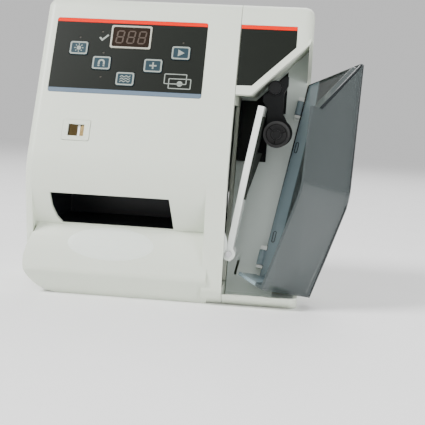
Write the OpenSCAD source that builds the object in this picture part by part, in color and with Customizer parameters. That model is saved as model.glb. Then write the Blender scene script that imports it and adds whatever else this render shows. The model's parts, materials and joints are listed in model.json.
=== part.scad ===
// Compact upright banknote counter with a hinged, tinted loading-bay cover.
// Frame: +X to the user's right, -Y towards the user, +Z up, origin at the middle of the base.

/* [Body] */
// Width of the whole body
body_w = 180; // [180:1:184]
// Height of the whole body
body_h = 195; // [194:1:198]
// Y of the back face
back_y = 49; // [49:1:52]
// X of the seam between the counter housing and the loading bay
seam_x = 42; // [41:0.5:43]
// Wall thickness of the shells
wall = 2.5; // [2:0.1:2.8]
// Backward tilt of the control panel, in degrees
tilt = 21; // [20:0.5:22]

/* [Loading bay] */
// How far the tinted cover stands open at rest, in degrees
cover_open = 50; // [40:1:60]
// Wall thickness of the tinted cover
cover_t = 2; // [1.6:0.1:2.2]
// Lean of the pressure plate, in degrees
plate_lean = 8.7; // [7:0.1:9]

/* [Controls] */
// Key width
key_w = 12.4; // [11:0.1:13]
// Key height
key_h = 9.6; // [9:0.1:10]
// Key travel
key_travel = 0.8; // [0.4:0.1:0.8]

/* [Drive] */
// Shaft radius
shaft_r = 3; // [2.5:0.1:3]
// Motor pulley radius
motor_pulley_r = 6; // [5:0.5:7]
// Drum pulley radius
drum_pulley_r = 14; // [12:0.5:15]

/* [Hidden] */
$fn = 48;

half_w = body_w / 2;
gap = 0.3;                  // joint line between neighbouring casings
fit = 0.05;                 // radial running clearance
panel_foot = [-42.8, 93.1]; // where the panel plane meets the belly arc (Y, Z)
belly_r = 48;
belly_c = [panel_foot[0] + belly_r * cos(tilt), panel_foot[1] - belly_r * sin(tilt)];
belly_end = 220;            // angle at which the belly meets the tray
junction = belly_c + belly_r * [cos(belly_end), sin(belly_end)];
top_r = 10;
// centre of the rounding between the panel and the top
top_c = [(panel_foot[0] * cos(tilt) - panel_foot[1] * sin(tilt) + top_r + (body_h - top_r) * sin(tilt)) / cos(tilt),
         body_h - top_r];
side_r = 6;                 // rounding of the outer side edges
corner_r = 24;              // rounding of the lower left corner, seen from the front
slot_top = 66;              // note slot, top and bottom edges
slot_low = 46;

// Panel items: [X, distance up the slope from panel_foot]
screw_places = [[-62, 9], [-80, 97], [-80, 186], [80, 9], [80, 97], [80, 186]];
feet_places = [[-52, -29], [20, -29], [-60, 38], [30, 38]];
key_places = [[-64.2, 72.2], [-47.7, 62.1], [-30.7, 51.5], [-13.2, 61.7], [4.3, 71.6]];
led_places = [[-64.3, 80.2], [-49.6, 84.9], [-47.3, 69.7], [-47.2, 52.5], [5.2, 79.2]];
overlay_x = [-81.2, 20.4];
overlay_s = [40.5, 94];
display_mid = [-30, 81.6];
display_size = [25, 14.2];
switch_mid = [-58.5, 14.4];

// Cover hinge line, from its upper to its lower end
hinge_a = [86.5, 27, 145.6];
hinge_b = [61.8, -22, 10.9];
hinge_v = hinge_a - hinge_b;
hinge_len = norm(hinge_v);
hinge_lean = acos(hinge_v[2] / hinge_len);
hinge_turn = atan2(hinge_v[1], hinge_v[0]);
hinge_stand = 3.2;          // how far the hinge line stands in front of the bay wall, along Y
// direction from the hinge line to the bay wall, in the hinge's local frame
hinge_to_wall = atan2(cos(hinge_turn), sin(hinge_turn) * cos(hinge_lean));
lip_z = 8;                  // top of the lip along the bay floor
kink = [52.4, 135];         // corner of the bay opening (X, Z)
diag_slope = 0.985;         // rise of the slanting edge
plate_pivot = [44.8, 33];   // (X, Z)
arm_pivot = [67, 141];
roller_mid = [69.8, 110.5];
roller_r = 8.8;
bracket_screw_at = [36, 37];

drum = [24, 46];            // shaft positions (X, Z)
pickup = [24, 92];
stacker = [-4, 82];
motor = [-52, 112];
drum_r = 14;

// ---- helpers ----
function arc(c, r, a0, a1, n = 10) = [for (k = [0:n]) let (a = a0 + (a1 - a0) * k / n) c + r * [cos(a), sin(a)]];
function wall_y(z) = hinge_a[1] + (z - hinge_a[2]) * hinge_v[1] / hinge_v[2] + hinge_stand;
function hinge_at(z) = hinge_b + hinge_v * (z - hinge_b[2]) / hinge_v[2];

// (Y, Z) outline of the casing from the back, over the top and down the panel, inset by i
function crown(i, back) = concat(
  back > back_y ? [[back, body_h - i]] : arc([back_y - 5, body_h - 5], 5 - i, 0, 90, 4),
  arc(top_c, top_r - i, 90, 180 - tilt, 6));
function main_profile(i, back, low) = concat([[back, low]], crown(i, back),
  arc(belly_c, belly_r - i, 180 - tilt, belly_end, 16), [[junction[0] + i, low]]);
function cheek_front(i) = concat(arc(belly_c, belly_r - i, 180 - tilt, 180, 6),
  [[-46.6 + i, 44], [-47.6 + i, 22]], arc([-38, 12.4], 10 - i, 172, 244, 6), [[-37.5 + i, 0.4]]);
function cheek_profile(i, back, low) = concat([[back, low]], crown(i, back), cheek_front(i), [[-30, low]]);
function tray_profile(i, low) = [[-28, low], [-28, 45 - i], junction + [0, -i], [-38 + i / 2, 42.6 - i], [-41.5 + i / 2, 38 - i],
  [-44.4 + i / 2, 32.4 - i], [-47 + i, 25.6], [-49.2 + i, 18.4], [-49.6 + i, 16], [-48.8 + i, 13.6], [-40 + i, low]];

module along_x(x0, x1) translate([x0, 0, 0]) rotate([90, 0, 90]) linear_extrude(x1 - x0) children();
module along_y(y0, y1) translate([0, y1, 0]) rotate([90, 0, 0]) linear_extrude(y1 - y0) children();
// local frame of the sloping panel: -Y points out of it, Z runs up the slope
module on_panel() translate([0, panel_foot[0], panel_foot[1]]) rotate([-tilt, 0, 0]) children();
module panel_plate(x, s, y0, y1, r = 1) translate([0, y1, 0]) rotate([90, 0, 0])
  linear_extrude(y1 - y0) translate([x[0], s[0]]) rounded([x[1] - x[0], s[1] - s[0]], r);
module rounded(size, r) {
  translate([r, 0]) square([size[0] - 2 * r, size[1]]);
  translate([0, r]) square([size[0], size[1] - 2 * r]);
  for (x = [r, size[0] - r], z = [r, size[1] - r]) translate([x, z]) circle(r, $fn = 24);
}
module key_shape(k, grow, y0, y1) panel_plate([key_places[k][0] - key_w / 2 - grow, key_places[k][0] + key_w / 2 + grow],
  [key_places[k][1] - key_h / 2 - grow, key_places[k][1] + key_h / 2 + grow], y0, y1, 1.6);
module display_shape(grow, y0, y1) panel_plate([display_mid[0] - display_size[0] / 2 - grow, display_mid[0] + display_size[0] / 2 + grow],
  [display_mid[1] - display_size[1] / 2 - grow, display_mid[1] + display_size[1] / 2 + grow], y0, y1, 1.2);
module rod(p, r, y0, y1) translate([p[0], y1, p[1]]) rotate([90, 0, 0]) cylinder(r = r, h = y1 - y0);
module ring(p, r, bore, y0, y1) difference() { rod(p, r, y0, y1); rod(p, bore, y0 - 1, y1 + 1); }
// local frame of the cover hinge: Z along the hinge line, origin at its lower end
module on_hinge() translate(hinge_b) rotate([0, hinge_lean, hinge_turn]) children();
module swing_cover(a) translate(hinge_b) rotate(a = a, v = hinge_v) translate(-hinge_b) children();
// local frame of the leaning pressure plate: Z up the plate from its pivot
module on_plate() translate([plate_pivot[0], 0, plate_pivot[1]]) rotate([0, plate_lean, 0]) children();

// ---- casings ----
module side_cap(sign, profile_kind) hull() for (a = [0, 30, 60, 90]) let (i = side_r * (1 - cos(a)), x = half_w - side_r + side_r * sin(a))
  along_x(sign > 0 ? x - 0.02 : -x, sign > 0 ? x : -x + 0.02)
    polygon(profile_kind == 0 ? main_profile(i, back_y, 0) : cheek_profile(i, back_y, 0));

module tray_body() intersection() {
  along_x(-half_w, 32) polygon(tray_profile(0, 0));
  along_y(-60, -20) polygon(concat([[32, 0], [32, 46], [-81.5, 46], [-82.5, 42], [-84.6, 37], [-86.8, 31], [-88, 24]],
    arc([-66, 22], 22, 180, 270, 10)));
}
module tray_hollow() intersection() {
  along_x(-half_w, 28) polygon(tray_profile(wall, -1));
  along_y(-60, -20) polygon(concat([[28, -1], [28, 44], [-80, 44], [-82, 37], [-84.5, 30], [-85.4, 23]],
    arc([-66, 22], 19.5, 180, 270, 10), [[-66, -1]]));
}
// front view of the main casing, with its rounded lower left corner
module corner_limit(i, low) along_y(-70, 70) polygon(concat([[seam_x + 1, low], [seam_x + 1, 200], [-half_w + i, 200]],
  arc([corner_r - half_w, corner_r], corner_r - i, 180, 270, 10), [[corner_r - half_w, low]]));
module left_shell() color([0.86, 0.87, 0.83]) difference() {
  union() {
    intersection() {
      union() {
        along_x(-half_w + side_r, seam_x) polygon(main_profile(0, back_y, 0));
        side_cap(-1, 0);
      }
      corner_limit(0, 0);
    }
    tray_body();
    along_x(29, seam_x) polygon(cheek_profile(0, back_y, 0));
  }
  intersection() {
    along_x(-half_w + wall, seam_x - wall) polygon(main_profile(wall, back_y + 1, -1));
    corner_limit(wall, -1);
  }
  tray_hollow();
  translate([seam_x - wall - 1, back_y - wall - 0.2, -1]) cube([5, 5, body_h - wall + 1]);
  along_x(29 + wall, seam_x - wall) polygon(cheek_profile(wall, back_y + 1, -1));
  along_y(-60, -26) polygon([[-72.5, slot_top], [5.5, slot_top], [7.2, 55], [8, slot_low], [-66, slot_low], [-69, 50], [-71.4, 57]]);
  on_panel() {
    panel_plate(overlay_x + [-0.2, 0.2], overlay_s + [-0.2, 0.2], -1, 0.8, 1.7);
    for (k = [0:4]) key_shape(k, 0.3, -1, wall + 1);
    for (l = led_places) translate([l[0], 5, l[1]]) rotate([90, 0, 0]) cylinder(r = 1.6, h = 6);
    display_shape(1.3, -1, wall + 1);
    panel_plate([switch_mid[0] - 6.2, switch_mid[0] + 6.2], [switch_mid[1] - 5, switch_mid[1] + 5], -1, wall + 1, 0.8);
    panel_plate([switch_mid[0] - 9.2, switch_mid[0] + 9.2], [switch_mid[1] - 7.2, switch_mid[1] + 7.2], -1, 1, 1.2);
  }
  along_x(seam_x - wall - 1, seam_x + 1) polygon([[-45.2, 12], [-45.2, 22], [-44.2, 44], [-44, 58], [-38, 92], [-24, 128], [20, 128], [8, 92], [-18, 20], [-18, 12]]);
}
// room for the lower corner of the open cover
module cover_corner_room() translate([73, -33, 3.6]) cube([20, 24, 13]);
module bay_opening(x1) {
  on_panel() translate([0, 6, 0]) rotate([90, 0, 0]) linear_extrude(12)
    polygon([for (p = [[seam_x - 2, 60], [x1, 60], [x1, kink[1] + (x1 - kink[0]) * diag_slope], kink, [seam_x - 2, kink[1]]])
      [p[0], (p[1] - panel_foot[1]) / cos(tilt)]]);
}
module bay_shell() color([0.86, 0.87, 0.83]) difference() {
  union() {
    difference() {
      union() {
        along_x(seam_x + gap, half_w - side_r) polygon(cheek_profile(0, back_y, 0));
        side_cap(1, 1);
      }
      along_x(seam_x - 1, half_w - wall) polygon(cheek_profile(wall, back_y + 1, 3));
      // the front of the bay
      along_x(seam_x - 1, half_w - wall) polygon([[-70, lip_z], [-70, 120], [wall_y(120), 120], [wall_y(lip_z), lip_z]]);
      bay_opening(86.6);
      // the right side, in front of the bay wall and under the cover's upper edge
      along_x(86.6, half_w + 1) polygon([[-70, lip_z], [-70, 173.5], [-12.5, 173.5], [wall_y(146.5) + 1, 146.5], [wall_y(lip_z) + 1, lip_z]]);
      cover_corner_room();
      translate([seam_x - 1, back_y - wall - 0.2, -1]) cube([half_w - wall - seam_x + 1, 5, 5]);
    }
    // ceiling of the bay, along the kinked edge
    intersection() {
      along_y(-40, 40) polygon([[seam_x + gap, kink[1]], kink, [88.5, kink[1] + (88.5 - kink[0]) * diag_slope],
        [88.5, kink[1] + 3.6 + (88.5 - kink[0]) * diag_slope], [kink[0] - 1, kink[1] + 3.4], [seam_x + gap, kink[1] + 3.4]]);
      along_x(seam_x, half_w) polygon([for (z = [110, 190], e = [0, 1]) let (f = z == 110 ? e : 1 - e)
        [f == 0 ? panel_foot[0] + (z - panel_foot[1]) * tan(tilt) + 0.8 : wall_y(z) - 0.1, z]]);
    }
  }
  on_panel() side_overlay(0.2, -1, 0.8);
}
module rear_cover() color([0.8, 0.81, 0.78]) difference() {
  intersection() {
    along_y(back_y - wall, back_y) translate([-half_w + wall + 0.2, 0.2]) rounded([body_w - 2 * wall - 0.4, body_h - wall - 0.4], 2.4);
    union() {
      corner_limit(wall + 0.2, 0.2);
      translate([seam_x, 0, 0.2]) cube([60, 60, 200]);
    }
  }
  for (k = [0:9]) translate([-60 + k * 7, back_y - 4, 128]) cube([3, 8, 34]);
  for (k = [0:7]) translate([20 + k * 7, back_y - 4, 40]) cube([3, 8, 26]);
  rod([-70, 172], 4.2, back_y - 5, back_y + 1);
  for (p = screw_places) rod(p, 1.6, back_y - 5, back_y + 1);
}
module base_plate() color([0.75, 0.76, 0.73]) difference() {
  union() {
    translate([corner_r - half_w + 2, -31.5, 0]) cube([seam_x + half_w - corner_r - wall - 2.2, back_y - wall + 31.3, 2.5]);
    translate([corner_r - half_w + 2, -37, 0]) cube([90, 6, 2.5]);
  }
  for (p = feet_places) translate([p[0], p[1], -1]) cylinder(r = 5.5, h = 2.5);
  for (k = [0:5]) translate([-50 + k * 12, -10, -1]) cube([4, 30, 5]);
}
module inlaid_feet() color([0.12, 0.12, 0.12]) for (p = feet_places)
  translate([p[0], p[1], 0]) cylinder(r = 5.5, h = 1.5);
module rear_screws() color([0.7, 0.7, 0.72]) for (p = screw_places) let (x = p[0], z = p[1]) difference() {
  union() { rod([x, z], 1.5, back_y - 4.5, back_y + 0.01); rod([x, z], 2.8, back_y, back_y + 1.3); }
  translate([x - 2, back_y + 0.6, z - 0.35]) cube([4, 1, 0.7]);
  translate([x - 0.35, back_y + 0.6, z - 2]) cube([0.7, 1, 4]);
}

// ---- control panel ----
// the overlay's second part, over the bay: a band whose lower edge follows the opening
module side_overlay(grow, y0, y1) translate([0, y1, 0]) rotate([90, 0, 0]) linear_extrude(y1 - y0)
  polygon([for (p = [[seam_x + gap + 0.3, 140.8 - grow], [kink[0], 141 - grow], [79.2 + grow, 167.4 - grow], [79.2 + grow, 180.9 + grow],
    [seam_x + gap + 0.3, 180.9 + grow]]) [p[0] - (p[0] < 50 && grow > 0 ? 3 : 0), (p[1] - panel_foot[1]) / cos(tilt)]]);
module panel_overlay() color([0.12, 0.13, 0.12]) on_panel() difference() {
  union() {
    panel_plate(overlay_x, overlay_s, 0.1, 0.8, 1.5);
    side_overlay(0, 0.1, 0.8);
  }
  for (k = [0:4]) key_shape(k, 0.25, -1, 2);
  for (l = led_places) translate([l[0], 3, l[1]]) rotate([90, 0, 0]) cylinder(r = 0.7, h = 5, $fn = 24);
  display_shape(1.25, -1, 2);
}
module display_bezel() color([0.78, 0.78, 0.74]) on_panel() difference() {
  display_shape(1.15, -0.5, 2.4);
  display_shape(0, -1, 3);
}
module display_window() color([0.2, 0.12, 0.08]) on_panel() display_shape(-0.05, 0.1, 1.2);
module display_module() color([0.9, 0.9, 0.86]) on_panel() difference() {
  display_shape(-0.6, 1.4, 7.4);
  for (d = [-1:1]) translate([display_mid[0] + d * 7.6 - 0.4, 0, display_mid[1] - 0.4]) cube([0.8, 1.6, 0.8]);
}
module display_board() color([0.1, 0.35, 0.2]) on_panel() difference() {
  panel_plate([-78, 17], [44, 91], 7.6, 9.2, 1);
  for (x = [-74, 13], s = [47.5, 87.5]) translate([x, 12, s]) rotate([90, 0, 0]) cylinder(r = 1.6, h = 6);
}
module tact_switches() color([0.15, 0.15, 0.16]) on_panel() for (k = key_places) {
  translate([k[0] - 3, 4.6, k[1] - 3]) cube([6, 2.9, 6]);
  translate([k[0], 4.7, k[1]]) rotate([90, 0, 0]) cylinder(r = 1.6, h = 0.8);
}
module status_leds() color([0.85, 0.3, 0.2]) on_panel() for (l = led_places) {
  translate([l[0], 7.5, l[1]]) rotate([90, 0, 0]) cylinder(r = 1.5, h = 5.6);
  translate([l[0], 1.95, l[1]]) rotate([90, 0, 0]) cylinder(r = 0.65, h = 1.6, $fn = 24);
}
module key_cap(k) color([0.2, 0.27, 0.3]) on_panel() {
  key_shape(k, 0, -0.5, 2.6);
  translate([key_places[k][0], 3, key_places[k][1]]) rotate([90, 0, 0]) cylinder(r = 2, h = 1);
}
module switch_body() color([0.83, 0.84, 0.8]) on_panel() difference() {
  union() {
    panel_plate([switch_mid[0] - 9, switch_mid[0] + 9], [switch_mid[1] - 7, switch_mid[1] + 7], -0.4, 1, 1.1);
    panel_plate([switch_mid[0] - 6, switch_mid[0] + 6], [switch_mid[1] - 4.8, switch_mid[1] + 4.8], 0.9, 8.5, 0.6);
  }
  panel_plate([switch_mid[0] - 5.2, switch_mid[0] + 5.2], [switch_mid[1] - 4, switch_mid[1] + 4], -2, 7.5, 0.3);
}
module power_rocker() color([0.75, 0.65, 0.45]) on_panel() translate([switch_mid[0], 3.6, switch_mid[1]]) rotate([0, 0, 8]) difference() {
  translate([0, 0, -3.8]) linear_extrude(7.6) polygon([[-4.6, -3.8], [-0.9, -2.4], [0.9, -2.4], [4.6, -3.8], [3.4, 2.6], [-3.4, 2.6]]);
  translate([0, 0, -5]) cylinder(r = 0.8, h = 10, $fn = 24);
}

// ---- note pocket and bay ----
module note_pocket() color([0.09, 0.1, 0.1]) difference() {
  translate([-80, -32, 44.4]) cube([89, 62, 25.6]);
  translate([-78, -40, 46]) cube([95, 68, 22]);
}
module bay_wall() color([0.9, 0.91, 0.89]) difference() {
  union() {
    // land that carries the cover hinge
    along_x(seam_x + gap + 0.2, half_w - wall - 0.2) polygon([[wall_y(3.5), 3.5], [wall_y(170), 170], [wall_y(170) + 2.2, 170], [wall_y(3.5) + 2.2, 3.5]]);
    along_x(seam_x + gap + 0.2, half_w - wall - 0.2) polygon([[wall_y(3.5), 3.5], [wall_y(3.5) + 12, 3.5], [wall_y(3.5) + 12, 5.5], [wall_y(3.5), 5.5]]);
  }
  // slot for the note sensor, and the mouth of the note path
  translate([47, wall_y(20) - 4, 16]) rotate([0, 11, 0]) cube([1.6, 8, 20]);
  translate([43, wall_y(40) - 4, 44]) rotate([0, 8.7, 0]) cube([2.6, 14, 30]);
  rod(arm_pivot, 2.4, -10, 60);
  rod(plate_pivot, 2, -40, 30);
  cover_corner_room();
}
module throat_guide() color([0.08, 0.09, 0.09]) translate([0, -0.02, 0]) difference() {
  along_x(seam_x + gap + 0.4, 74) polygon([[wall_y(91) - 3, 91], [wall_y(154) - 3, 154], [wall_y(154), 154], [wall_y(91), 91]]);
  along_y(-50, 60) polygon([[40, 132.6], [kink[0] + 0.6, 132.6], [80, 160], [80, 175], [40, 175]]);
  along_y(-50, 60) polygon([[62.5, 80], [62.5, 118], [70, 124], [80, 126], [80, 80]]);
  rod(arm_pivot, 5.5, -10, 60);
}
module feed_arm() color([0.07, 0.07, 0.08]) difference() {
  union() {
    along_y(-4, 4) polygon([[62.4, 111], [62.4, 127], [59, 132], [59, 135.2], [62, 138], [73.5, 148.8], [75.4, 148.8],
      [75.4, 143], [73, 138], [73, 124], [79.4, 112.5]]);
    rod(roller_mid + [0.8, 0.8], 9.2, -4, 4);
    rod(arm_pivot, 5, -6, 20);
  }
  rod(arm_pivot, 2.4 + fit, -10, 30);
  rod(roller_mid, 2, -5, 5);
}
module arm_pin() color([0.7, 0.7, 0.72]) { rod(arm_pivot, 2.4, -8, 26); rod(arm_pivot, 4, -8.6, -6.3); }
module arm_spring() color([0.6, 0.6, 0.62]) for (k = [0:3]) translate([arm_pivot[0], 21 + k, arm_pivot[1]]) rotate([90, 0, 0])
  rotate_extrude() translate([3.6, 0]) circle(0.5, $fn = 16);
module feed_roller() color([0.05, 0.05, 0.05]) difference() {
  union() {
    rod(roller_mid, roller_r, -14.5, -5);
    rod(roller_mid, roller_r - 1.6, -15.1, -4.6);
  }
  rod(roller_mid, 2 + fit, -20, 0);
  ring(roller_mid, roller_r - 2.6, 4.2, -16, -13.6);
  for (a = [0:120:240]) rod(roller_mid + 3.1 * [cos(a + 20), sin(a + 20)], 0.6, -16, -14);
}
module roller_axle() color([0.62, 0.62, 0.64]) { rod(roller_mid, 2, -15.6, 4); rod(roller_mid, 2.7, -16.4, -15.5); }
module plate_outline() polygon([[-19.5, 96.4], [-24, 96.4], [-38.5, 60], [-40.4, 40], [-40.2, 12], [-39, -2], [-38.2, -4.6],
  [-30, -4.6], [-24, 4], [3, 60], [15.8, 96.4]]);
module pressure_plate() color([0.9, 0.9, 0.86]) on_plate() difference() {
  union() {
    along_x(-2, 2) plate_outline();
    translate([0, -34, 0]) rotate([90, 0, 0]) cylinder(r = 4.2, h = 5.5);
    translate([0, -19, 0]) rotate([90, 0, 0]) cylinder(r = 3.6, h = 9);
  }
  rotate([90, 0, 0]) translate([0, 0, -40]) cylinder(r = 2 + fit, h = 90);
  translate([-5, -33.9, -6]) cube([10, 5.8, 12]);
}
module friction_pad() color([0.2, 0.22, 0.2]) on_plate() along_x(2.02, 3.2)
  polygon([[-33.5, 62], [-24.6, 90], [-4, 90], [-8, 66], [-30, 36], [-36.5, 36]]);
module plate_pin() color([0.7, 0.7, 0.72]) rod(plate_pivot, 2, -41, -7);
module plate_spring() color([0.6, 0.6, 0.62]) for (k = [0:4]) translate([plate_pivot[0], -33 + k, plate_pivot[1]]) rotate([90, 0, 0])
  rotate_extrude() translate([3, 0]) circle(0.5, $fn = 16);
module plate_bracket() color([0.92, 0.92, 0.9]) difference() {
  intersection() {
    rod([31.2, 40], 12.6, -43.6, -41.4);
    translate([32.5, -50, 20]) cube([20, 30, 40]);
  }
  rod(bracket_screw_at, 1.6, -50, -20);
  rod([40.4, 46], 1, -50, -20);
}
module bracket_screw() color([0.7, 0.7, 0.72]) { rod(bracket_screw_at, 1.6, -43.8, -26); rod(bracket_screw_at, 2.6, -44, -43.6); rod(bracket_screw_at, 2.6, -41.4, -28); }

// ---- tinted cover, drawn shut and then swung open ----
function closed_y(z) = panel_foot[0] + (z - panel_foot[1]) * tan(tilt);
cover_top_z = 171.2;
cover_low = 16;             // lower edge of the cover
module sheet(points) hull() for (p = points) translate(p) sphere(d = cover_t, $fn = 12);
module cover_shut() {
  c = cover_t / 2;
  hinge_hi = hinge_at(145.6) + [0.4, -3.4, 0];
  hinge_lo = hinge_at(cover_low + 1) + [0.4, -3.4, 0];
  front_hi = [half_w - c, closed_y(cover_top_z) + c, cover_top_z - c];
  front_mid = [half_w - c, closed_y(92) + c + 0.2, 92];
  front_lo = [half_w - c, -44.8, cover_low + 1];
  // flat upper front, flush with the panel
  on_panel() translate([0, cover_t, 0]) rotate([90, 0, 0]) linear_extrude(cover_t)
    polygon([for (p = [[seam_x + 1.6, 92.4], [half_w, 92.4], [half_w, cover_top_z], [kink[0] + 0.8, kink[1] - 1.4],
      [seam_x + 1.6, kink[1] - 1.4]]) [p[0], (p[1] - panel_foot[1]) / cos(tilt)]]);
  // curved lower front
  along_x(seam_x + 1.6, half_w) polygon(concat(arc(belly_c, belly_r, 180 - tilt, 180, 6), [[-46, 44], [-46, cover_low]],
    [[-46 + cover_t, cover_low], [-46 + cover_t, 44]], arc(belly_c, belly_r - cover_t, 180, 180 - tilt, 6)));
  // right side, down to the hinge line
  sheet([front_hi, hinge_hi, front_mid]);
  sheet([front_mid, hinge_hi, hinge_lo]);
  sheet([front_mid, hinge_lo, front_lo]);
  // bottom flange
  translate([0, 0, cover_low]) linear_extrude(cover_t) polygon([[60, -20.6], [half_w - 0.6, -44], [half_w - 1, -45.6], [seam_x + 1.6, -45.6],
    [seam_x + 1.6, -22]]);
  // rib under the slanting upper edge
  sheet([[kink[0] + 1.2, closed_y(134) + 1, 133], [kink[0] + 1.2, closed_y(134) + 7, 133],
    [half_w - 3, closed_y(167) + 1, 166.4], [half_w - 3, closed_y(167) + 7, 166.4]]);
}
module hinge_knuckles(r) for (z = [14, 122]) translate([0, 0, z]) cylinder(r = r, h = 10.4);
module bay_cover() color([0.35, 0.4, 0.42, 0.5]) swing_cover(cover_open) difference() {
  union() {
    cover_shut();
    swing_cover(-cover_open) on_hinge() hinge_knuckles(2.6);
  }
  on_hinge() for (z = [9, 117]) translate([0, 0, z]) cylinder(r = 1.2 + fit, h = 20);
  on_hinge() for (z = [11.1, 24, 119.1, 132]) translate([0, 0, z]) cylinder(r = 3.6, h = z == 11.1 || z == 119.1 ? 2.7 : 3.4);
}
module hinge_pins() color([0.7, 0.7, 0.72]) on_hinge() for (z = [11.5, 119.5]) translate([0, 0, z]) cylinder(r = 1.2, h = 15.5);
function bracket_t(z) = z == 11.5 || z == 119.5 ? 1.9 : 2.8;
module hinge_brackets() color([0.88, 0.89, 0.87]) on_hinge() for (z = [11.5, 24.2, 119.5, 132.2]) difference() {
  rotate([0, 0, hinge_to_wall]) translate([-2.3, -2.2, z]) cube([5.1, 4.4, bracket_t(z)]);
  translate([0, 0, z - 1]) cylinder(r = 1.2, h = 6);
}

// ---- drive ----
frame_front = [-28, -26];
frame_back = [34, 36];
spacer_places = [[-78, 108], [30, 108], [30, 12]];
module rear_frame() color([0.72, 0.73, 0.74]) difference() {
  along_y(frame_back[0], frame_back[1]) polygon([[-62, 6], [36, 6], [36, 120], [-20, 134], [-84, 134], [-84, 28]]);
  for (p = [drum, pickup, stacker]) rod(p, 6, 30, 40);
  rod(motor, 8, 30, 40);
  for (p = spacer_places) rod(p, 2, 30, 40);
}
module front_frame() color([0.72, 0.73, 0.74]) difference() {
  along_y(frame_front[0], frame_front[1]) polygon([[14, 4], [39, 4], [39, 60], [36, 64], [36, 114], [-84, 114], [-84, 72], [14, 72]]);
  for (p = [drum, pickup, stacker]) rod(p, 6, -30, -20);
  for (p = spacer_places) rod(p, 2, -30, -20);
  rod(bracket_screw_at, 1.6, -30, -20);
}
module frame_spacers() color([0.65, 0.66, 0.68]) {
  for (p = spacer_places) {
    rod(p, 3, frame_front[1], frame_back[0]);
    rod(p, 2, frame_front[0] - 1, frame_back[1] + 1);
  }
}
module shaft_bearings() color([0.6, 0.6, 0.62]) for (p = [drum, pickup, stacker], y = [frame_front[0] - 0.5, frame_back[0] - 0.5])
  ring(p, 6, shaft_r + fit, y, y + 3);
module drum_shaft() color([0.7, 0.7, 0.72]) rod(drum, shaft_r, -30, 45);
module pickup_shaft() color([0.7, 0.7, 0.72]) rod(pickup, shaft_r, -32, 45);
module stacker_shaft() color([0.7, 0.7, 0.72]) rod(stacker, shaft_r, -32, 36.8);
module transport_drum() color([0.15, 0.15, 0.16]) difference() {
  union() { for (y = [-18, 2, 18]) rod(drum, drum_r, y, y + 8); rod(drum, 8, -20, 28); }
  rod(drum, shaft_r, -30, 40);
}
module pickup_rollers() color([0.2, 0.2, 0.2]) difference() {
  union() { for (y = [-12, 12]) rod(pickup, 12, y, y + 9); rod(pickup, 5, -20, 28); rod(pickup, 6, -31.8, -29); }
  rod(pickup, shaft_r, -40, 40);
}
module stacker_wheels() color([0.25, 0.25, 0.27]) for (y = [-16, 8]) difference() {
  union() {
    rod(stacker, 5, y - 2, y + 6);
    for (a = [0:45:315]) translate([stacker[0], 0, stacker[1]]) rotate([0, a, 0]) translate([-0.6, y, 4]) cube([1.2, 4, 5.5]);
  }
  rod(stacker, shaft_r, -30, 40);
}
module drum_pulley() color([0.3, 0.3, 0.32]) difference() {
  union() {
    rod(drum, drum_pulley_r, 37.2, 40.2);
    rod(drum, 8, 40.2, 44.5);
  }
  rod(drum, shaft_r, -40, 50);
}
module encoder_disc() color([0.1, 0.1, 0.1]) difference() {
  rod(drum, 12, 29.4, 30.2);
  rod(drum, shaft_r, 20, 40);
  for (a = [0:30:330]) translate([drum[0], 0, drum[1]]) rotate([0, a, 0]) translate([-0.8, 29, 8]) cube([1.6, 2, 3]);
}
module count_sensor() color([0.12, 0.12, 0.13]) difference() {
  translate([drum[0] - 4, 27.6, drum[1] - 20]) cube([8, 4.8, 12]);
  translate([drum[0] - 5, 28.8, drum[1] - 13]) cube([10, 2, 8]);
}
module motor_can() color([0.6, 0.61, 0.63]) difference() {
  union() { rod(motor, 17, -16, 34); rod(motor, 7.9, 34, 36.2); }
  rod(motor, 2.6, -20, 40);
}
module motor_rotor() color([0.5, 0.5, 0.52]) { rod(motor, 2.5, -14, 45); rod(motor, motor_pulley_r, 37.2, 40.2); }
// open belt round two pulleys: a ring with straight runs, from two circles and a band
module belt(p, rp, q, rq, y0, y1) {
  d = q - p;
  len = norm(d);
  turn = atan2(d[1], d[0]);
  lean = asin((rp - rq) / len);
  translate([p[0], y1, p[1]]) rotate([0, -turn, 0]) rotate([90, 0, 0]) linear_extrude(y1 - y0) difference() {
    belt_area(rp + 1.1, rq + 1.1, len, lean);
    belt_area(rp + fit, rq + fit, len, lean);
  }
}
module belt_area(a, b, len, lean) polygon(concat(
  [for (k = [0:24]) let (t = 90 - lean + k * (180 + 2 * lean) / 24) a * [cos(t), sin(t)]],
  [for (k = [0:24]) let (t = -90 + lean + k * (180 - 2 * lean) / 24) [len, 0] + b * [cos(t), sin(t)]]));
module drive_belt() color([0.05, 0.05, 0.05]) belt(drum, drum_pulley_r, motor, motor_pulley_r, 37.3, 40.1);
module pickup_belt() color([0.05, 0.05, 0.05]) belt(drum, 8, pickup, shaft_r, 41.2, 44.2);
module stacker_belt() color([0.05, 0.05, 0.05]) belt(pickup, 6, stacker, shaft_r, -31.7, -29.1);
module main_board() color([0.1, 0.35, 0.2]) difference() {
  translate([-85, -8, 76]) cube([1.6, 38, 84]);
  for (y = [-4, 26], z = [80, 156]) translate([-90, y, z]) rotate([0, 90, 0]) cylinder(r = 1.6, h = 10);
}
module board_parts() color([0.1, 0.1, 0.12]) {
  translate([-83.3, -8, 140]) cube([3, 14, 14]);
  translate([-83.3, -6, 118]) cube([3, 10, 8]);
  for (z = [84, 100]) translate([-83.3, 16, z]) rotate([0, 90, 0]) cylinder(r = 5, h = 8);
  translate([-83.3, -6, 84]) cube([7, 6, 20]);
}
module dc_jack() color([0.1, 0.1, 0.1]) difference() {
  union() { translate([-75, 36, 167]) cube([10, back_y - wall - 36, 10]); rod([-70, 172], 4, back_y - wall - 0.1, back_y); }
  ring([-70, 172], 2.75, 1, 38, back_y + 1);
}
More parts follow.
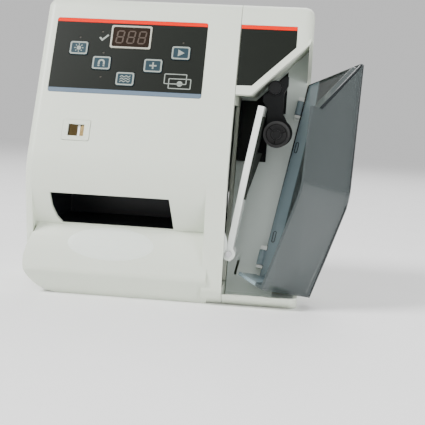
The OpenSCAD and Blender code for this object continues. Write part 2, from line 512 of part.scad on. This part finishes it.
module uv_lamp() color([0.85, 0.88, 0.95]) translate([20, 0, 66]) { rod([0, 3], 3, -20, 26); rod([0, 3], 3.6, -23, -19); rod([0, 3], 3.6, 25, 29); }

left_shell();
bay_shell();
rear_cover();
base_plate();
inlaid_feet();
rear_screws();
panel_overlay();
display_bezel();
display_window();
display_module();
display_board();
tact_switches();
status_leds();
key_cap(0);  // uv_key
key_cap(1);  // magnetic_key
key_cap(2);  // watermark_key
key_cap(3);  // add_key
key_cap(4);  // start_key
switch_body();
power_rocker();
note_pocket();
bay_wall();
throat_guide();
feed_arm();
arm_pin();
arm_spring();
feed_roller();
roller_axle();
pressure_plate();
friction_pad();
plate_pin();
plate_spring();
plate_bracket();
bracket_screw();
bay_cover();
hinge_pins();
hinge_brackets();
rear_frame();
front_frame();
frame_spacers();
shaft_bearings();
drum_shaft();
transport_drum();
drum_pulley();
encoder_disc();
count_sensor();
pickup_shaft();
pickup_rollers();
stacker_shaft();
stacker_wheels();
motor_can();
motor_rotor();
drive_belt();
pickup_belt();
stacker_belt();
main_board();
board_parts();
dc_jack();
uv_lamp();
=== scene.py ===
import json
import math

import bmesh
import bpy
from mathutils import Matrix, Vector


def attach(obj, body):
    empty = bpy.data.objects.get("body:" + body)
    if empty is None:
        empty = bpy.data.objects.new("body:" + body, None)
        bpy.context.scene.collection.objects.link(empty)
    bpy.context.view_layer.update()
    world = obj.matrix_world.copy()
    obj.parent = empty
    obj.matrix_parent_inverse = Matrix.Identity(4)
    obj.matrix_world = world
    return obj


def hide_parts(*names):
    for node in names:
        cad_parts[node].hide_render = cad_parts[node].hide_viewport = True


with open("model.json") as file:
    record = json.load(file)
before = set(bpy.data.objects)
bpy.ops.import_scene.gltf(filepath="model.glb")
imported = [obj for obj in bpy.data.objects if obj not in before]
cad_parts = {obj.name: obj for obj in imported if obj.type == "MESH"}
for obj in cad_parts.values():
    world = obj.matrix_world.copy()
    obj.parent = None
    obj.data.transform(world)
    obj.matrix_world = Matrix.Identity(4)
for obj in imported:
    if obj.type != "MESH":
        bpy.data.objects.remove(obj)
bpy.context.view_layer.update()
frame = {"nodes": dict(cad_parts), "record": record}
MM = 0.001

# ---------------------------------------------------------------- the control panel's plane
TILT = math.radians(21)
PANEL_FOOT = Vector((0, -42.8, 93.1)) * MM
PANEL_UP = Vector((0, math.sin(TILT), math.cos(TILT)))
PANEL_OUT = Vector((0, -math.cos(TILT), math.sin(TILT)))


def on_panel(x, s, out=0.0):
    """A point on the panel, in mm: x across, s up the slope, out above its surface."""
    return Vector((x * MM, 0, 0)) + PANEL_FOOT + PANEL_UP * (s * MM) + PANEL_OUT * (out * MM)


def slope_of(point):
    return (point - PANEL_FOOT).dot(PANEL_UP) / MM


# ---------------------------------------------------------------- materials
def new_material(name):
    mat = bpy.data.materials.new(name)
    mat.use_nodes = True
    return mat, mat.node_tree.nodes, mat.node_tree.links, mat.node_tree.nodes["Principled BSDF"]


def surface(name, colour, rough, grain=1500.0, bump=0.06, shade=0.06, patch=18.0, metal=0.0, coat=0.0,
            spec=0.5):
    """Moulded or machined surface: slow colour variation, fine grain in roughness and bump."""
    mat, nodes, links, bsdf = new_material(name)
    bsdf.inputs["Metallic"].default_value = metal
    bsdf.inputs["Coat Weight"].default_value = coat
    bsdf.inputs["Coat Roughness"].default_value = 0.08
    bsdf.inputs["Specular IOR Level"].default_value = spec
    coords = nodes.new("ShaderNodeTexCoord")
    slow = nodes.new("ShaderNodeTexNoise")
    slow.inputs["Scale"].default_value = patch
    slow.inputs["Detail"].default_value = 4
    fine = nodes.new("ShaderNodeTexNoise")
    fine.inputs["Scale"].default_value = grain
    fine.inputs["Detail"].default_value = 3
    links.new(coords.outputs["Object"], slow.inputs["Vector"])
    links.new(coords.outputs["Object"], fine.inputs["Vector"])
    tint = nodes.new("ShaderNodeValToRGB")
    tint.color_ramp.elements[0].position = 0.3
    tint.color_ramp.elements[1].position = 0.7
    tint.color_ramp.elements[0].color = (*[c * (1 - shade) for c in colour], 1)
    tint.color_ramp.elements[1].color = (*[min(1, c * (1 + shade)) for c in colour], 1)
    links.new(slow.outputs["Fac"], tint.inputs["Fac"])
    links.new(tint.outputs["Color"], bsdf.inputs["Base Color"])
    gloss = nodes.new("ShaderNodeMapRange")
    gloss.inputs["To Min"].default_value = max(0.03, rough - 0.06)
    gloss.inputs["To Max"].default_value = min(1, rough + 0.06)
    links.new(fine.outputs["Fac"], gloss.inputs["Value"])
    links.new(gloss.outputs["Result"], bsdf.inputs["Roughness"])
    relief = nodes.new("ShaderNodeBump")
    relief.inputs["Strength"].default_value = bump
    relief.inputs["Distance"].default_value = 0.0002
    links.new(fine.outputs["Fac"], relief.inputs["Height"])
    links.new(relief.outputs["Normal"], bsdf.inputs["Normal"])
    return mat


def tinted(name, colour, alpha, edge_alpha, rough=0.06):
    """Smoke-tinted clear moulding, denser where it is seen edge-on."""
    mat = surface(name, colour, rough, grain=220, bump=0.002, shade=0.1, patch=14, coat=0.4)
    nodes, links = mat.node_tree.nodes, mat.node_tree.links
    rim = nodes.new("ShaderNodeLayerWeight")
    rim.inputs["Blend"].default_value = 0.35
    density = nodes.new("ShaderNodeMapRange")
    density.inputs["To Min"].default_value = alpha
    density.inputs["To Max"].default_value = edge_alpha
    links.new(rim.outputs["Facing"], density.inputs["Value"])
    links.new(density.outputs["Result"], nodes["Principled BSDF"].inputs["Alpha"])
    return mat


CASING = surface("casing_plastic", (0.66, 0.705, 0.605), 0.42, grain=1900, bump=0.10, shade=0.02)
CASING_REAR = surface("casing_rear_plastic", (0.57, 0.61, 0.53), 0.5, grain=1500, bump=0.14, shade=0.02)
TRAY_OVAL = surface("tray_oval_plastic", (0.73, 0.785, 0.715), 0.34, grain=1900, bump=0.03, shade=0.015)
OVERLAY = surface("overlay_black", (0.0085, 0.0105, 0.008), 0.42, grain=2600, bump=0.05, shade=0.12,
                  spec=0.16)
STRIPE_RED = surface("overlay_stripe_red", (0.78, 0.014, 0.001), 0.45, grain=2600, bump=0.04,
                     shade=0.05, spec=0.05)
STRIPE_BLUE = surface("overlay_stripe_blue", (0.115, 0.16, 0.215), 0.42, grain=2600, bump=0.04,
                      shade=0.05, spec=0.2)
PRINT = surface("overlay_print_light", (0.26, 0.29, 0.26), 0.4, grain=2600, bump=0.04, shade=0.05)
KEY = surface("key_plastic", (0.018, 0.04, 0.052), 0.42, grain=2600, bump=0.06, shade=0.12, spec=0.2)
BEZEL = surface("bezel_plastic", (0.42, 0.42, 0.35), 0.3, grain=2200, bump=0.05, shade=0.04)
WINDOW = surface("display_glass", (0.016, 0.009, 0.005), 0.2, grain=500, bump=0.01, shade=0.2, spec=0.25)
SEGMENT = surface("display_segment", (0.045, 0.026, 0.014), 0.5, grain=2600, bump=0.02, shade=0.1)
LED = surface("led_lens", (0.05, 0.045, 0.035), 0.3, grain=2600, bump=0.02, shade=0.1)
ROCKER = surface("rocker_bronze", (0.13, 0.09, 0.035), 0.2, grain=2600, bump=0.05, shade=0.2, patch=220,
                 metal=0.85)
WHITE = surface("white_plastic", (0.78, 0.82, 0.78), 0.34, grain=1600, bump=0.05, shade=0.03)
WALL = surface("bay_wall_plastic", (0.68, 0.75, 0.71), 0.34, grain=1600, bump=0.05, shade=0.03)
BLACK = surface("black_plastic", (0.0045, 0.0055, 0.006), 0.4, grain=1500, bump=0.10, shade=0.2, spec=0.22)
POCKET = surface("pocket_plastic", (0.008, 0.010, 0.013), 0.4, grain=1500, bump=0.10, shade=0.2)
RUBBER = surface("rubber", (0.0045, 0.0045, 0.0045), 0.5, grain=1700, bump=0.2, shade=0.2, spec=0.22)
PAD = surface("friction_rubber", (0.022, 0.027, 0.022), 0.75, grain=900, bump=0.4, shade=0.2, spec=0.2)
STEEL = surface("turned_steel", (0.55, 0.55, 0.56), 0.3, grain=3000, bump=0.08, shade=0.08, metal=1.0)
SHEET = surface("sheet_aluminium", (0.58, 0.59, 0.60), 0.38, grain=2500, bump=0.1, shade=0.06, metal=1.0)
BOARD = surface("circuit_board", (0.01, 0.085, 0.035), 0.32, grain=700, bump=0.15, shade=0.3, patch=300)
# painted highlight: near-white strip laid on the power rocker's bronze face
GLINT = surface("rocker_painted_highlight", (0.8, 0.81, 0.8), 0.25, grain=2600, bump=0.03, shade=0.04)
DARK_STEEL = surface("blackened_steel", (0.007, 0.0075, 0.008), 0.34, grain=3000, bump=0.1, shade=0.15,
                     spec=0.3)
EDGE_BLACK = surface("cover_edge_black", (0.008, 0.012, 0.014), 0.16, grain=900, bump=0.02, shade=0.2)
LAMP = surface("lamp_tube", (0.62, 0.66, 0.76), 0.2, grain=1500, bump=0.03, shade=0.04)
SMOKE = tinted("smoke_clear", (0.055, 0.070, 0.071), 0.66, 0.90)
SMOKE_EDGE = tinted("smoke_edge", (0.012, 0.017, 0.020), 0.90, 0.97, rough=0.12)
# same smoked plastic as the cover, tinted lighter for the strip beside the hinge: a painted highlight, with
# the pale bay wall behind it painted into the tint
SMOKE_HIGHLIGHT_STRIP = tinted("smoke_strip_painted_highlight", (0.30, 0.40, 0.44), 0.62, 0.9)

NODE_MATERIALS = {
    CASING_REAR: ["rear_cover", "base_plate"],
    RUBBER: ["inlaid_feet", "transport_drum", "pickup_rollers", "stacker_wheels", "drive_belt", "pickup_belt",
             "stacker_belt"],
    DARK_STEEL: ["arm_pin", "roller_axle"],
    STEEL: ["rear_screws", "arm_spring", "plate_pin", "plate_spring", "bracket_screw",
            "hinge_pins", "frame_spacers", "shaft_bearings", "drum_shaft", "pickup_shaft", "stacker_shaft",
            "motor_rotor"],
    SHEET: ["rear_frame", "front_frame", "motor_can"],
    BLACK: ["tact_switches", "drum_pulley", "encoder_disc", "count_sensor", "board_parts", "dc_jack",
            "throat_guide", "feed_arm"],
    POCKET: ["note_pocket"],
    BOARD: ["display_board", "main_board"],
    WHITE: ["display_module", "hinge_brackets", "plate_bracket", "pressure_plate"],
    WALL: ["bay_wall"],
    CASING: ["left_shell", "bay_shell", "switch_body"],
    OVERLAY: ["panel_overlay"],
    BEZEL: ["display_bezel"],
    WINDOW: ["display_window"],
    LED: ["status_leds"],
    KEY: ["uv_key", "magnetic_key", "watermark_key", "add_key", "start_key"],
    ROCKER: ["power_rocker"],
    PAD: ["friction_pad"],
    LAMP: ["uv_lamp"],
    SMOKE: ["bay_cover"],
}
for mat, names in NODE_MATERIALS.items():
    for name in names:
        mesh = frame["nodes"][name].data
        mesh.materials.clear()
        mesh.materials.append(mat)
BODY_OF = {node: body for body, nodes in frame["record"]["behaviour"]["bodies"].items() for node in nodes}


# ---------------------------------------------------------------- mesh helpers
def object_from(bm, name, materials):
    mesh = bpy.data.meshes.new(name)
    bm.to_mesh(mesh)
    bm.free()
    for mat in materials:
        mesh.materials.append(mat)
    obj = bpy.data.objects.new(name, mesh)
    bpy.context.scene.collection.objects.link(obj)
    return obj


def smooth(obj, sharp_angle=32):
    bm = bmesh.new()
    bm.from_mesh(obj.data)
    for face in bm.faces:
        face.smooth = True
    for edge in bm.edges:
        edge.smooth = not (edge.is_manifold and edge.calc_face_angle(0) > math.radians(sharp_angle))
    bm.to_mesh(obj.data)
    bm.free()


def cad_mesh(node, weld=2e-6):
    """The CAD node's mesh as a bmesh, with its triangles joined back into flat faces."""
    bm = bmesh.new()
    bm.from_mesh(frame["nodes"][node].data)
    bmesh.ops.remove_doubles(bm, verts=bm.verts, dist=weld)
    bmesh.ops.dissolve_limit(bm, angle_limit=math.radians(0.6), verts=bm.verts, edges=bm.edges)
    return bm


def cut(bm, point, normal):
    """Split the mesh's faces along a plane."""
    bmesh.ops.bisect_plane(bm, geom=[*bm.verts, *bm.edges, *bm.faces], plane_co=point, plane_no=normal)


def rounded_copy(node, width, materials=None, angle=30, segments=3, paint=None):
    """A copy of a CAD node with its sharp edges rounded, standing for that node."""
    bm = cad_mesh(node)
    if paint:
        paint(bm)
    obj = object_from(bm, node + "_finished", materials or [frame["nodes"][node].data.materials[0]])
    smooth(obj, 89)
    bevel = obj.modifiers.new("rounding", "BEVEL")
    bevel.width = width * MM
    bevel.segments = segments
    bevel.limit_method = "ANGLE"
    bevel.angle_limit = math.radians(angle)
    bevel.use_clamp_overlap = True
    bevel.harden_normals = False
    weight = obj.modifiers.new("even_shading", "WEIGHTED_NORMAL")
    weight.keep_sharp = True
    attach(obj, BODY_OF[node])
    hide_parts(node)
    return obj


def slab(outline, place, depth, name, mat, body, holes=()):
    """A thin closed solid from a flat outline. place(x, y, out) puts a point on the surface."""
    bm = bmesh.new()
    edges = []
    for loop in (outline, *holes):
        verts = [bm.verts.new(place(x, y, depth)) for x, y in loop]
        edges += [bm.edges.new((verts[i], verts[(i + 1) % len(verts)])) for i in range(len(verts))]
    bmesh.ops.triangle_fill(bm, use_beauty=True, use_dissolve=False, edges=edges)
    top = list(bm.faces)
    out = bmesh.ops.extrude_face_region(bm, geom=top)
    moved = [v for v in out["geom"] if isinstance(v, bmesh.types.BMVert)]
    shift = place(0, 0, 0) - place(0, 0, depth)
    bmesh.ops.translate(bm, verts=moved, vec=shift)
    bmesh.ops.recalc_face_normals(bm, faces=bm.faces)
    obj = object_from(bm, name, [mat])
    smooth(obj)
    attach(obj, body)
    return obj


def rounded_rect(cx, cy, w, h, r, steps=6):
    points = []
    for sx, sy, start in ((1, 1, 0), (-1, 1, 90), (-1, -1, 180), (1, -1, 270)):
        for k in range(steps + 1):
            t = math.radians(start + 90 * k / steps)
            points.append((cx + sx * (w / 2 - r) + r * math.cos(t), cy + sy * (h / 2 - r) + r * math.sin(t)))
    return points


def circle(cx, cy, r, steps=24):
    turns = [2 * math.pi * k / steps for k in range(steps)]
    return [(cx + r * math.cos(t), cy + r * math.sin(t)) for t in turns]


def spoke(angle, r0, r1, w):
    """A bar along a radius, from r0 to r1."""
    return bar(r0 * math.cos(angle), r0 * math.sin(angle), r1 * math.cos(angle), r1 * math.sin(angle), w)


def bar(x0, y0, x1, y1, w):
    d = Vector((x1 - x0, y1 - y0)).normalized() * w / 2
    n = Vector((-d.y, d.x))
    return [(x0 + n.x, y0 + n.y), (x0 - n.x, y0 - n.y), (x1 - n.x, y1 - n.y), (x1 + n.x, y1 + n.y)]


# ---------------------------------------------------------------- casings
STRIP_FROM, STRIP_TO = 0.7, 2.2


def paint_rocker(bm):
    """A painted highlight: a bright strip down the right of the rocker's face."""
    middle = sum((v.co.x for v in bm.verts), 0.0) / len(bm.verts)
    for x in (STRIP_FROM, STRIP_TO):
        cut(bm, (middle + x * MM, 0, 0), (1, 0, 0))
    for face in bm.faces:
        if STRIP_FROM * MM < face.calc_center_median().x - middle < STRIP_TO * MM:
            face.material_index = 1


ROCKER_PAINT = {"materials": [ROCKER, GLINT], "paint": paint_rocker}
# the edge radius of each moulded part, in mm, in the order they are made
EDGE_RADIUS = {
    "left_shell": 0.7, "bay_shell": 0.6, "rear_cover": 0.4, "base_plate": 0.4, "switch_body": 0.35,
    "power_rocker": 0.3, "display_bezel": 0.3, "bay_wall": 0.4, "pressure_plate": 0.5, "plate_bracket": 0.35,
    "feed_arm": 0.6, "throat_guide": 0.4, "note_pocket": 0.3, "dc_jack": 0.3, "hinge_brackets": 0.3,
    "uv_key": 0.3, "magnetic_key": 0.3, "watermark_key": 0.3, "add_key": 0.3, "start_key": 0.3,
}
for node, radius in EDGE_RADIUS.items():
    rounded_copy(node, radius, **(ROCKER_PAINT if node == "power_rocker" else {}))

# ---------------------------------------------------------------- overlay with its printed bands
RED_FROM, BLUE_TO, MAIN_EDGE_X = 91.4, 43.6, 21.0


def paint_overlay(bm):
    for s in (RED_FROM, BLUE_TO):
        cut(bm, on_panel(0, s), PANEL_UP)
    for face in bm.faces:
        middle = face.calc_center_median()
        s = slope_of(middle)
        if s > RED_FROM:
            face.material_index = 1
        elif s < BLUE_TO and middle.x < MAIN_EDGE_X * MM:
            face.material_index = 2


rounded_copy("panel_overlay", 0.12, materials=[OVERLAY, STRIPE_RED, STRIPE_BLUE], segments=2,
             paint=paint_overlay)

# ---------------------------------------------------------------- key borders and icons
KEYS = {"uv": (-64.2, 72.2), "magnetic": (-47.7, 62.1), "watermark": (-30.7, 51.5), "add": (-13.2, 61.7),
        "start": (4.3, 71.6)}
KEY_W, KEY_H, KEY_PROUD = 12.4, 9.6, 0.5
PRINT_H = 0.05


def arc(r, y, start, stop, step):
    """Points of an arc round (0, y), from start to stop degrees."""
    turns = [math.radians(t) for t in range(start, stop, step)]
    return [(r * math.cos(t), y + r * math.sin(t)) for t in turns]


def icon_outlines(kind):
    if kind == "uv":
        return [circle(0, 0, 1.5)] + [spoke(math.radians(45 * k), 2.1, 3.1, 0.6) for k in range(8)]
    if kind == "magnetic":
        arch, inner = arc(2.3, 0.3, 0, 181, 15), arc(1.1, 0.3, 180, -1, -15)
        return [arch + [(-2.3, -1.2), (-1.1, -1.2)] + inner + [(1.1, -1.2), (2.3, -1.2)],
                [(-2.3, -1.6), (-1.1, -1.6), (-1.1, -2.5), (-2.3, -2.5)],
                [(1.1, -1.6), (2.3, -1.6), (2.3, -2.5), (1.1, -2.5)]]
    if kind == "watermark":
        wave = []
        for row in (1.7, 0, -1.7):
            up = [(x / 4, row + 0.32 + 0.45 * math.sin(x * 0.55)) for x in range(-14, 15)]
            wave.append(up + [(x, y - 0.64) for x, y in reversed(up)])
        return wave
    if kind == "add":
        return [[(-0.5, 2.4), (0.5, 2.4), (0.5, 0.5), (2.4, 0.5), (2.4, -0.5), (0.5, -0.5), (0.5, -2.4),
                 (-0.5, -2.4), (-0.5, -0.5), (-2.4, -0.5), (-2.4, 0.5), (-0.5, 0.5)]]
    return [[(-1.8, 2.4), (2.5, 0), (-1.8, -2.4)]]


for kind, (kx, ks) in KEYS.items():
    def key_place(x, y, out, kx=kx, ks=ks):
        return on_panel(kx + x, ks + y, KEY_PROUD + out)
    body = kind + "_button"
    slab(rounded_rect(0, 0, KEY_W - 0.5, KEY_H - 0.5, 1.4), key_place, 0.06, kind + "_key_border", PRINT,
         body, holes=[rounded_rect(0, 0, KEY_W - 2.5, KEY_H - 2.5, 0.8)])
    for n, outline in enumerate(icon_outlines(kind)):
        slab(outline, key_place, PRINT_H, f"{kind}_key_icon_{n}", PRINT, body)

# ---------------------------------------------------------------- display digits
DISPLAY_MID = (-30, 81.6)
DIGIT_W, DIGIT_H, DIGIT_STEP, SEGMENT_W, SLANT = 4.4, 8.6, 7.4, 0.95, 0.12


def digit_place(dx):
    def place(x, y, out):
        return on_panel(DISPLAY_MID[0] + dx + x + SLANT * y, DISPLAY_MID[1] + y, -0.1 + out)
    return place


def segment_outline(x0, y0, x1, y1):
    d = Vector((x1 - x0, y1 - y0)).normalized()
    n = Vector((-d.y, d.x)) * SEGMENT_W / 2
    a, b = Vector((x0, y0)) + d * 0.12, Vector((x1, y1)) - d * 0.12
    tip = d * SEGMENT_W / 2
    return [tuple(p) for p in (a, a + tip + n, b - tip + n, b, b - tip - n, a + tip - n)]


for d in (-1, 0, 1):
    w, h = DIGIT_W / 2, DIGIT_H / 2
    bars = [(-w, h, w, h), (-w, 0, w, 0), (-w, -h, w, -h), (-w, 0, -w, h), (w, 0, w, h), (-w, -h, -w, 0),
            (w, -h, w, 0)]
    for n, ends in enumerate(bars):
        slab(segment_outline(*ends), digit_place(d * DIGIT_STEP), 0.04, f"digit_{d + 2}_segment_{n}", SEGMENT,
             "housing")

# ---------------------------------------------------------------- tray oval
# the tray's front in the Y-Z plane, in mm
TRAY_LINE = [(-34.8, 45), (-38, 42.6), (-41.5, 38), (-44.4, 32.4), (-47, 25.6), (-49.2, 18.4)]


def tray_point(x, z, out):
    for (y0, z0), (y1, z1) in zip(TRAY_LINE, TRAY_LINE[1:]):
        if z >= z1:
            t = (z0 - z) / (z0 - z1)
            n = Vector((0, -(z0 - z1), (y0 - y1))).normalized()
            return Vector((x, y0 + (y1 - y0) * t, z)) * MM + n * (out * MM)
    return Vector((x, TRAY_LINE[-1][0], z)) * MM


OVAL_MID, OVAL_HALF, OVAL_PROUD = (-31.5, 34.5), (29, 10.2), 0.22
OVAL_RIM, OVAL_DROP = 0.93, 0.30


def oval_point(r, t):
    """A point of the oval: r from 0 at its middle to 1 at its edge, which sinks into the tray."""
    out = OVAL_PROUD if r < OVAL_RIM else OVAL_PROUD - OVAL_DROP * (r - OVAL_RIM) / 0.07
    return tray_point(OVAL_MID[0] + OVAL_HALF[0] * r * math.cos(t),
                      OVAL_MID[1] + OVAL_HALF[1] * r * math.sin(t), out)


def tray_oval(rings=10, around=72):
    bm = bmesh.new()
    grid = []
    for k in range(rings + 1):
        turns = [2 * math.pi * a / around for a in range(around)] if k else [0]
        grid.append([bm.verts.new(oval_point(k / rings, t)) for t in turns])
    for k in range(rings):
        for a in range(around):
            b = (a + 1) % around
            if k == 0:
                bm.faces.new((grid[0][0], grid[1][a], grid[1][b]))
            else:
                bm.faces.new((grid[k][a], grid[k + 1][a], grid[k + 1][b], grid[k][b]))
    out = bmesh.ops.extrude_face_region(bm, geom=list(bm.faces))
    bmesh.ops.translate(bm, verts=[v for v in out["geom"] if isinstance(v, bmesh.types.BMVert)],
                        vec=Vector((0, 0.6, -0.5)) * MM)
    bmesh.ops.recalc_face_normals(bm, faces=bm.faces)
    obj = object_from(bm, "tray_oval", [TRAY_OVAL])
    smooth(obj, 50)
    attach(obj, "housing")


tray_oval()

# ---------------------------------------------------------------- tinted cover
HINGE = next(j for j in frame["record"]["behaviour"]["joints"] if j["name"] == "cover_hinge")
HINGE_POINT, HINGE_DIR = Vector(HINGE["pos_m"]), Vector(HINGE["axis"]).normalized()
COVER_OPEN = math.radians(50)  # the angle the cover is drawn open by in part.scad
STRIP_W = 11.5
NARROW_FACE = 1.1


def opened(x, y, z):
    """A point of the shut cover, in mm, where it is with the cover open."""
    return HINGE_POINT + Matrix.Rotation(COVER_OPEN, 3, HINGE_DIR) @ (Vector((x, y, z)) * MM - HINGE_POINT)


def from_hinge(point):
    """The part of a point's place that is square to the hinge line."""
    arm = point - HINGE_POINT
    return arm - HINGE_DIR * arm.dot(HINGE_DIR)


COVER_TOP, COVER_MID, COVER_LOW = opened(89.0, -11.8, 170.2), opened(89.0, -42.0, 92), opened(89.0, -44.8, 17)
ACROSS = from_hinge(COVER_MID).normalized()
FACING = HINGE_DIR.cross(ACROSS)
FACING = -FACING if FACING.y > 0 else FACING


def paint_cover(bm):
    cut(bm, HINGE_POINT + ACROSS * STRIP_W * MM, ACROSS)
    for face in bm.faces:
        middle = face.calc_center_median()
        # the strip beside the hinge gets the lighter tint, a painted highlight
        if from_hinge(middle).dot(ACROSS) < STRIP_W * MM:
            face.material_index = 2
        elif 2 * face.calc_area() / max(face.calc_perimeter(), 1e-9) < NARROW_FACE * MM:
            face.material_index = 1


cover = rounded_copy("bay_cover", 0.3, materials=[SMOKE, SMOKE_EDGE, SMOKE_HIGHLIGHT_STRIP], angle=40,
                     paint=paint_cover)


def bead(points, radius, name, around=10):
    """A round black bead on the cover, along a line of points, closed at its ends."""
    bm = bmesh.new()
    rings = []
    for k, point in enumerate(points):
        ahead = (points[min(k + 1, len(points) - 1)] - points[max(k - 1, 0)]).normalized()
        side = ahead.cross(Vector((0.3, 0.2, 1))).normalized()
        other = ahead.cross(side)
        rings.append([bm.verts.new(point + (side * math.cos(t) + other * math.sin(t)) * radius * MM)
                      for t in [2 * math.pi * a / around for a in range(around)]])
    for low, high in zip(rings, rings[1:]):
        for a in range(around):
            b = (a + 1) % around
            bm.faces.new((low[a], low[b], high[b], high[a]))
    bm.faces.new(rings[0])
    bm.faces.new(rings[-1])
    bmesh.ops.recalc_face_normals(bm, faces=bm.faces)
    obj = object_from(bm, name, [EDGE_BLACK])
    smooth(obj, 60)
    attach(obj, "cover")


STRIP_TOP, STRIP_FOOT = opened(86.9, 23.6, 145.6), opened(63.6, -23.0, 17)
COVER_FRONT = opened(53.6, -25.4, 134.2)
FOLD_LINE = [COVER_TOP, COVER_MID, opened(89, -44.9, 80), opened(89, -45.2, 44), COVER_LOW]
bead(FOLD_LINE, 1.5, "cover_fold_edge")
bead([COVER_FRONT, COVER_TOP, STRIP_TOP], 1.05, "cover_upper_edge")
bead([STRIP_TOP, STRIP_FOOT], 1.15, "cover_hinge_edge")
bead([STRIP_FOOT, COVER_LOW], 1.3, "cover_lower_edge")

# oblong slots in the strip beside the hinge
for n, along in enumerate((98, 34)):
    def strip_place(x, y, out, along=along):
        flat = HINGE_DIR * (along + y) + ACROSS * (STRIP_W / 2 + x)
        return HINGE_POINT + (flat + FACING * out) * MM
    hit, place_at, normal, _ = cover.ray_cast(strip_place(0, 0, 25), -FACING)
    rise = (place_at - strip_place(0, 0, 0)).dot(FACING) / MM if hit else 0
    slab(rounded_rect(0, 0, 2.4, 8, 1.15), lambda x, y, out: strip_place(x, y, out + rise - 0.1), 0.25,
         f"cover_slot_{n + 1}_rim", SMOKE_EDGE, "cover",
         holes=[rounded_rect(0, 0, 1.3, 6.9, 0.6)])

# ---------------------------------------------------------------- roller face and hub
ROLLER, ROLLER_FACE_Y = (69.8, 110.5), -15.1


def roller_place(x, z, out):
    return Vector((ROLLER[0] + x, ROLLER_FACE_Y - out, ROLLER[1] + z)) * MM


rounded_copy("feed_roller", 0.35)
slab(circle(0, 0, 6.9, 48), roller_place, 0.35, "roller_outer_ring", RUBBER, "roller",
     holes=[circle(0, 0, 6.3, 48)])
slab(circle(0, 0, 4.1, 40), roller_place, 0.6, "roller_hub_ring", DARK_STEEL, "roller",
     holes=[circle(0, 0, 3.3, 40)])
for k in range(3):
    slab(spoke(math.radians(20 + 120 * k), 2.8, 6.4, 0.8), roller_place, 0.3, f"roller_rib_{k + 1}", RUBBER,
         "roller")

# ---------------------------------------------------------------- dark guide wedge on the pressure plate
PLATE_LEAN = math.radians(8.7)
PLATE_PIVOT = (44.8, 33)


def plate_point(off, y, up):
    """A point beside the pressure plate, in mm: off its middle, along Y, up the plate."""
    return Vector((PLATE_PIVOT[0] + off * math.cos(PLATE_LEAN) + up * math.sin(PLATE_LEAN), y,
                   PLATE_PIVOT[1] - off * math.sin(PLATE_LEAN) + up * math.cos(PLATE_LEAN))) * MM


def guide_wedge():
    bm = bmesh.new()
    front = [(-33, 36), (-31, 66)]
    rear = [(-29, 36), (-7, 66)]
    face = [bm.verts.new(plate_point(t, y, up)) for t, (y, up) in
            ((2.6, front[0]), (2.8, rear[0]), (6.2, rear[1]), (2.9, front[1]))]
    back = [bm.verts.new(plate_point(2.05, y, up)) for y, up in (front[0], rear[0], rear[1], front[1])]
    bm.faces.new(face)
    bm.faces.new(back)
    for k in range(4):
        bm.faces.new((face[k], face[(k + 1) % 4], back[(k + 1) % 4], back[k]))
    bmesh.ops.triangulate(bm, faces=bm.faces)
    bmesh.ops.recalc_face_normals(bm, faces=bm.faces)
    obj = object_from(bm, "plate_guide_wedge", [PAD])
    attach(obj, "plate")


guide_wedge()

# ---------------------------------------------------------------- printed pictograms on the overlay
OVERLAY_PROUD = -0.1
NOTE_W, NOTE_H, NOTE_LINE = 15.0, 7.4, 0.6
DISC_MID = (5.5, 50.0)


def print_place(x, y, out):
    return on_panel(x, y, OVERLAY_PROUD + out)


for n, (cx, cy) in enumerate(((2.5, 53.2), DISC_MID)):
    slab(rounded_rect(cx, cy, NOTE_W, NOTE_H, 0.8), print_place, PRINT_H, f"note_print_{n + 1}_frame", PRINT,
         "housing",
         holes=[rounded_rect(cx, cy, NOTE_W - 2 * NOTE_LINE, NOTE_H - 2 * NOTE_LINE, 0.4)])
slab(circle(*DISC_MID, 1.9, 32), print_place, PRINT_H, "note_print_disc", PRINT, "housing")
TICK = [(-51.5, 80.3), (-50.6, 81.2), (-49.3, 79.7), (-45.8, 83.0), (-45.0, 82.2), (-49.3, 78.0)]
slab(TICK, print_place, PRINT_H, "tick_print", PRINT, "housing")

# ---------------------------------------------------------------- floor, light and camera
FLOOR_HALF = 3.0


def stage():
    bm = bmesh.new()
    corners = ((-1, -1), (1, -1), (1, 1), (-1, 1))
    bm.faces.new([bm.verts.new((x * FLOOR_HALF, y * FLOOR_HALF, 0.0)) for x, y in corners])
    paper = surface("floor_paper", (0.93, 0.93, 0.93), 0.6, grain=300, bump=0.02, shade=0.01)
    object_from(bm, "floor", [paper])


def area_light(name, where, size, power, target=(0, 0, 0.09)):
    data = bpy.data.lights.new(name, "AREA")
    data.shape = "DISK"
    data.size = size
    data.energy = power
    lamp = bpy.data.objects.new(name, data)
    lamp.location = where
    lamp.rotation_euler = (Vector(where) - Vector(target)).to_track_quat("Z", "Y").to_euler()
    bpy.context.scene.collection.objects.link(lamp)


stage()
area_light("key_light", (-0.95, -0.6, 1.2), 0.5, 36)
area_light("fill_light", (0.95, -0.75, 0.35), 0.7, 9)
area_light("back_light", (0.2, 1.2, 1.3), 1.2, 14)
world = bpy.data.worlds.new("studio")
world.use_nodes = True
world.node_tree.nodes["Background"].inputs["Color"].default_value = (1, 1, 1, 1)
world.node_tree.nodes["Background"].inputs["Strength"].default_value = 0.72
bpy.context.scene.world = world

camera_data = bpy.data.cameras.new("camera")
camera_data.sensor_width = 36
camera_data.lens = 72.4
CAMERA_AT = (0.09087, -0.57885, 0.11592)
camera = bpy.data.objects.new("camera", camera_data)
look, up = Vector((-0.1059, 0.9889, -0.1043)).normalized(), Vector((-0.0646, 0.0978, 0.9931))
right = look.cross(up).normalized()
up = right.cross(look)
camera.matrix_world = Matrix.Translation(CAMERA_AT) @ Matrix((right, up, -look)).transposed().to_4x4()
bpy.context.scene.collection.objects.link(camera)
bpy.context.scene.camera = camera
